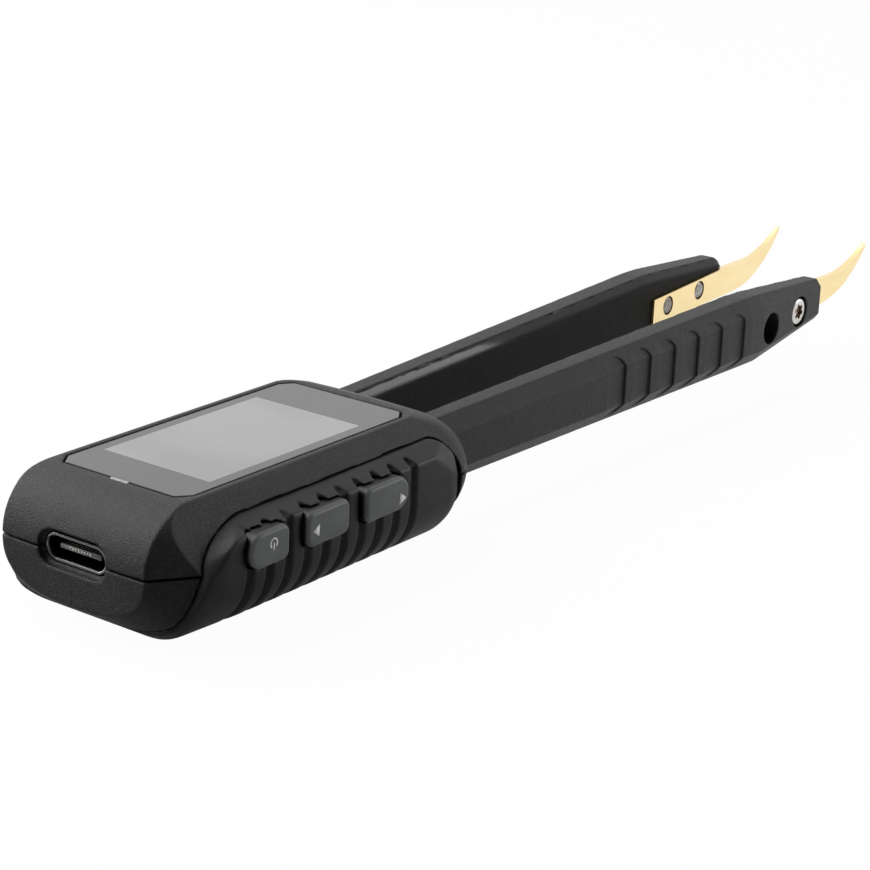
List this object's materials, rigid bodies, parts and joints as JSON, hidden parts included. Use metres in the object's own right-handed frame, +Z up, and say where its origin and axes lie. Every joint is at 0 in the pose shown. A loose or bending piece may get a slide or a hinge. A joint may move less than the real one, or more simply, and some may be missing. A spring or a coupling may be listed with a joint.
{
  "type": "smd test tweezers",
  "caption": "SMD test tweezers: a screen head with side keys, charging socket and ribbed grip, and sprung hinged arms that end in curved gold blades.",
  "frame": {"origin": "centre of the whole part's box in plan, on the surface that the grip's flat bottom rests on", "axes": "+X along the tweezers from the socket end to the blade points, +Y to the left arm, +Z up through the screen"},
  "size_m": [0.1642, 0.0318, 0.0158],
  "materials": {
    "housing": "finely grained black moulded plastic",
    "grip": "soft ribbed rubber, slightly warm black",
    "window": "smooth grey-tinted clear window",
    "display": "light grey display seen through the window",
    "board": "green circuit board",
    "battery": "foil pouch",
    "socket_shell": "nickel-plated shell",
    "socket_tongue": "black contact tongue",
    "key": "smooth dark keys with white marks",
    "switch": "small push switches",
    "steel": "plain steel",
    "arm": "finely grained black moulded plastic",
    "arm_cover": "black moulded plastic",
    "gold_blade": "gold-plated blade, satin",
    "screw": "bright plated screws",
    "lead": "thin insulated lead"
  },
  "bodies": {
    "head": {"top_housing": "housing", "bottom_housing": "housing", "grip_sleeve": "grip", "screen_window": "window", "lcd_module": "display", "main_board": "board", "battery": "battery", "usb_socket": "socket_shell", "usb_tongue": "socket_tongue", "key_switches": "switch", "housing_screws": "steel", "arm_springs": "steel", "left_hinge_pin": "steel", "right_hinge_pin": "steel"},
    "left_arm": {"left_arm_shell": "arm", "left_arm_cover": "arm_cover", "left_blade": "gold_blade", "left_blade_screws": "screw", "left_lead": "lead"},
    "right_arm": {"right_arm_shell": "arm", "right_arm_cover": "arm_cover", "right_blade": "gold_blade", "right_blade_screws": "screw", "right_lead": "lead"},
    "power_key": {"power_key": "key"},
    "menu_key": {"menu_key": "key"},
    "hold_key": {"hold_key": "key"}
  },
  "joints": [
    {"name": "left_arm_hinge", "type": "hinge", "parent": "head", "child": "left_arm", "pos_m": [-0.03565, 0.00715, 0.0087], "axis": [0, 0, -1], "range_deg": [0, 3.5], "stiffness_Nm_per_rad": 0.4, "springref_deg": -2.29},
    {"name": "right_arm_hinge", "type": "hinge", "parent": "head", "child": "right_arm", "pos_m": [-0.03565, -0.00625, 0.0087], "axis": [0, 0, 1], "range_deg": [0, 3.5], "stiffness_Nm_per_rad": 0.4, "springref_deg": -2.29},
    {"name": "power_key_push", "type": "slide", "parent": "head", "child": "power_key", "axis": [0, 1, 0], "range_m": [0, 0.0004], "stiffness_N_per_m": 300, "springref_m": -0.0003},
    {"name": "menu_key_push", "type": "slide", "parent": "head", "child": "menu_key", "axis": [0, 1, 0], "range_m": [0, 0.0004], "stiffness_N_per_m": 300, "springref_m": -0.0003},
    {"name": "hold_key_push", "type": "slide", "parent": "head", "child": "hold_key", "axis": [0, 1, 0], "range_m": [0, 0.0004], "stiffness_N_per_m": 300, "springref_m": -0.0003}
  ]
}
